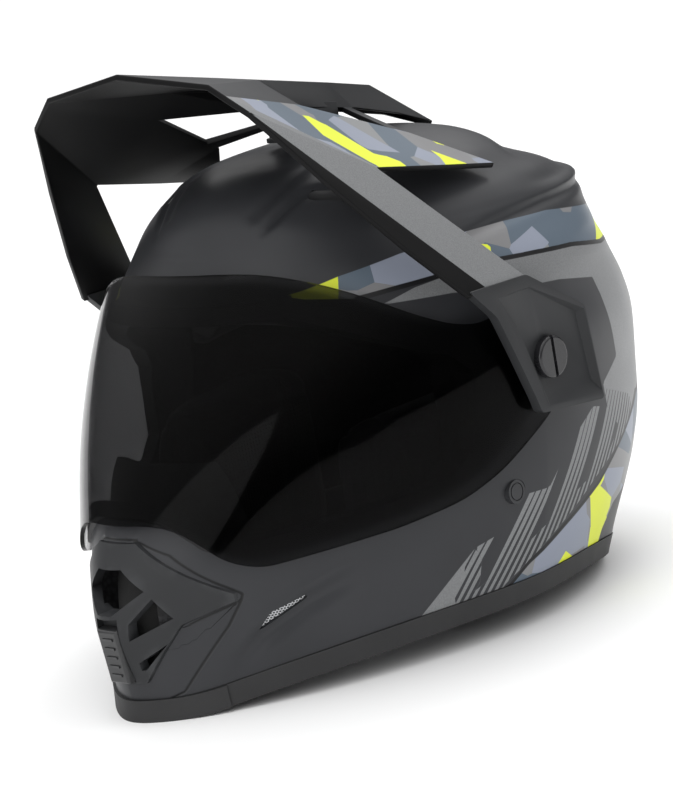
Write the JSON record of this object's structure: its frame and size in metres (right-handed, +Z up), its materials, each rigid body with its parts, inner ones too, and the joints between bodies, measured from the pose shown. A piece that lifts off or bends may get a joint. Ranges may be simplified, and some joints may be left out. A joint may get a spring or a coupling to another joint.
{
  "type": "dual sport helmet",
  "caption": "Full-face off-road and road helmet with a long peak, a hinged face shield, a pointed chin with a sliding vent, liners, cheek pads and a ring-buckled chin strap.",
  "frame": {"origin": "centre of the bounding box in plan, on the flat that the helmet stands on", "axes": "+Z up, -Y towards the wearer's front, +X towards the wearer's left"},
  "size_m": [0.2868, 0.3582, 0.306],
  "materials": {
    "shell_plastic": "satin painted plastic",
    "smoke_shield": "dark smoked clear plastic",
    "black_plastic": "matte moulded plastic",
    "gloss_black": "glossy moulded plastic",
    "rubber": "matte rubber",
    "foam": "moulded bead foam",
    "comfort_fabric": "knitted lining",
    "filter_mesh": "open filter cloth",
    "metal_mesh": "fine metal net",
    "webbing": "woven webbing",
    "steel": "plated metal",
    "snap": "moulded plastic"
  },
  "bodies": {
    "helmet": {"outer_shell": "shell_plastic", "shield_pivot_left": "black_plastic", "shield_pivot_right": "black_plastic", "chin_vent_frame": "black_plastic", "brow_vent_left": "black_plastic", "brow_vent_right": "black_plastic", "rear_exhaust_left": "black_plastic", "rear_exhaust_right": "black_plastic", "eyeport_gasket": "rubber", "bottom_trim": "rubber", "chin_trim": "rubber", "breath_guard": "rubber", "eps_liner": "foam", "chin_liner": "foam", "crown_liner": "comfort_fabric", "cheek_pad_left": "comfort_fabric", "cheek_pad_right": "comfort_fabric", "neck_roll": "comfort_fabric", "chin_vent_filter": "filter_mesh", "side_vent_mesh_left": "metal_mesh", "side_vent_mesh_right": "metal_mesh", "strap_left": "webbing", "strap_right": "webbing", "strap_rivet_left": "steel", "strap_rivet_right": "steel", "top_screw_insert": "steel", "strap_snap": "snap"},
    "shield": {"shield": "smoke_shield"},
    "peak": {"peak": "shell_plastic"},
    "chin_vent_slider": {"chin_vent_slider": "gloss_black"},
    "peak_screw_left": {"peak_screw_left": "gloss_black"},
    "peak_screw_right": {"peak_screw_right": "gloss_black"},
    "peak_top_screw": {"peak_top_screw": "gloss_black"},
    "d_ring_inner": {"d_ring_inner": "steel"},
    "d_ring_outer": {"d_ring_outer": "steel"}
  },
  "joints": [
    {"name": "shield_hinge", "type": "hinge", "parent": "helmet", "child": "shield", "pos_m": [0, 0.01121, 0.137], "axis": [-1, 0, 0], "range_deg": [0, 43]},
    {"name": "peak_tilt", "type": "hinge", "parent": "helmet", "child": "peak", "pos_m": [0, 0.01121, 0.137], "axis": [1, 0, 0], "range_deg": [-2.5, 3]},
    {"name": "chin_vent_slide", "type": "slide", "parent": "helmet", "child": "chin_vent_slider", "axis": [0, -0.0995, 0.995], "range_m": [0, 0.005]},
    {"name": "peak_screw_left_turn", "type": "hinge", "parent": "helmet", "child": "peak_screw_left", "pos_m": [0.139, 0.01121, 0.137], "axis": [1, 0, 0], "continuous": true},
    {"name": "peak_screw_right_turn", "type": "hinge", "parent": "helmet", "child": "peak_screw_right", "pos_m": [-0.139, 0.01121, 0.137], "axis": [-1, 0, 0], "continuous": true},
    {"name": "peak_top_screw_turn", "type": "hinge", "parent": "helmet", "child": "peak_top_screw", "pos_m": [0, 0.01121, 0.255], "axis": [0, 0, 1], "continuous": true},
    {"name": "d_ring_inner_swing", "type": "hinge", "parent": "helmet", "child": "d_ring_inner", "pos_m": [0.035, -0.00679, 0.005], "axis": [0, 1, 0], "range_deg": [0, 75]},
    {"name": "d_ring_outer_swing", "type": "hinge", "parent": "helmet", "child": "d_ring_outer", "pos_m": [0.041, -0.00679, 0.007], "axis": [0, 1, 0], "range_deg": [0, 70]}
  ]
}
